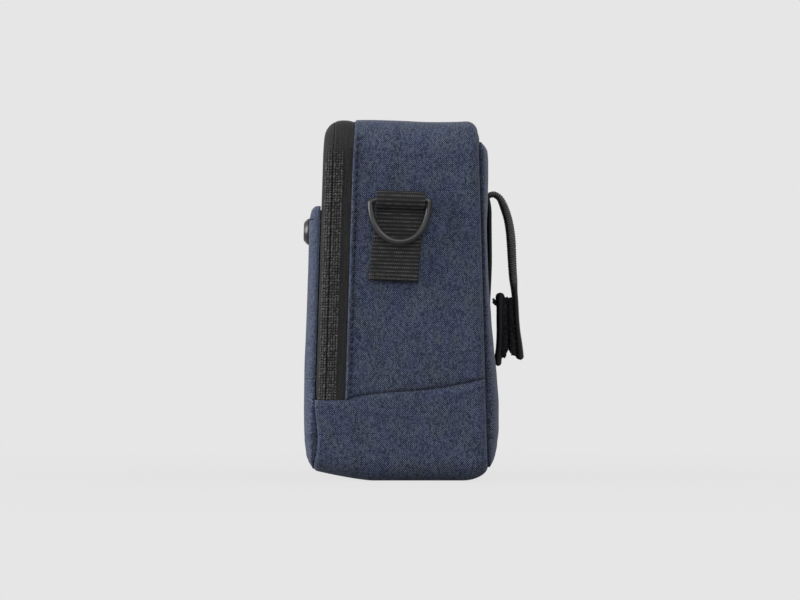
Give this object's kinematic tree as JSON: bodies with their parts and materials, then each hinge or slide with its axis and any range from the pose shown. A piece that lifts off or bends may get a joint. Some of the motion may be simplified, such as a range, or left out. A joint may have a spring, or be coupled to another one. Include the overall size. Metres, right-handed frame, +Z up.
{
  "type": "camera case",
  "caption": "Padded upright camera case with a zipped fold-down front lid, front pocket closed by a press stud, back pocket with belt loop, and a D-ring on each side.",
  "frame": {"origin": "middle of the flat part of the base, at floor height", "axes": "+X to the case's left as seen from the front (the right side in the picture's direction), +Y to the back with the belt loop, +Z up"},
  "size_m": [0.1338, 0.0917, 0.15],
  "materials": {
    "shell_fabric": "navy and grey-blue melange plain weave",
    "lining": "smooth grey lining cloth",
    "foam": "soft open-cell foam",
    "board": "matt sheet",
    "tape": "woven zip tape",
    "coil": "satin coil",
    "webbing": "ribbed webbing",
    "pad": "hook and loop pile",
    "metal": "black coated, satin"
  },
  "bodies": {
    "tray": {"side_top_gusset": "shell_fabric", "boot": "shell_fabric", "back_panel": "shell_fabric", "lower_front_panel": "shell_fabric", "back_pocket_panel": "shell_fabric", "front_pocket_base": "shell_fabric", "gusset_foam": "foam", "base_foam": "foam", "back_foam": "foam", "lower_front_foam": "foam", "base_board": "board", "gusset_lining": "lining", "back_lining": "lining", "lower_front_lining": "lining", "rim_binding": "tape", "zip_tape_body": "tape", "zip_coil_body": "coil", "d_ring_tab_right": "webbing", "d_ring_tab_left": "webbing", "belt_strap_base": "webbing", "belt_strap_lower": "webbing", "hook_pad": "pad"},
    "lid": {"lid_panel": "shell_fabric", "lid_foam": "foam", "lid_lining": "lining", "lid_binding": "tape", "zip_tape_lid": "tape", "zip_coil_lid": "coil", "snap_stud": "metal", "snap_stud_plate": "metal", "front_pocket_fold": "shell_fabric", "front_pocket_side_right": "shell_fabric", "front_pocket_side_left": "shell_fabric"},
    "front_pocket": {"front_pocket_panel": "shell_fabric", "snap_cap": "metal", "snap_socket": "metal"},
    "zip_slider": {"zip_slider": "metal"},
    "zip_puller": {"zip_puller": "metal"},
    "d_ring_right": {"d_ring_right": "metal"},
    "d_ring_left": {"d_ring_left": "metal"},
    "belt_strap_upper": {"belt_strap_upper": "webbing", "loop_pad": "pad"}
  },
  "joints": [
    {"name": "lid_fold", "type": "hinge", "parent": "tray", "child": "lid", "pos_m": [0, -0.0358, 0.036], "axis": [1, 0, 0], "range_deg": [0, 90], "deforming": ["front_pocket_fold"]},
    {"name": "front_pocket_mouth", "type": "hinge", "parent": "lid", "child": "front_pocket", "pos_m": [0, -0.0404, 0.042], "axis": [1, 0, 0], "range_deg": [0, 12], "deforming": ["front_pocket_side_right", "front_pocket_side_left"]},
    {"name": "zip_slide", "type": "slide", "parent": "tray", "child": "zip_slider", "axis": [0, 0.031, 0.9995], "range_m": [0, 0.08]},
    {"name": "puller_swing", "type": "hinge", "parent": "zip_slider", "child": "zip_puller", "pos_m": [-0.06135, -0.03069, 0.04565], "axis": [0, 0.9995, -0.031], "range_deg": [0, 170]},
    {"name": "d_ring_right_swing", "type": "hinge", "parent": "tray", "child": "d_ring_right", "pos_m": [0.06315, -0.0006, 0.1167], "axis": [0, -1, 0], "range_deg": [0, 165]},
    {"name": "d_ring_left_swing", "type": "hinge", "parent": "tray", "child": "d_ring_left", "pos_m": [-0.06315, -0.0006, 0.1167], "axis": [0, 1, 0], "range_deg": [0, 165]},
    {"name": "belt_upper_open", "type": "hinge", "parent": "tray", "child": "belt_strap_upper", "pos_m": [0, 0.03771, 0.1192], "axis": [1, 0, 0], "range_deg": [0, 100]}
  ]
}
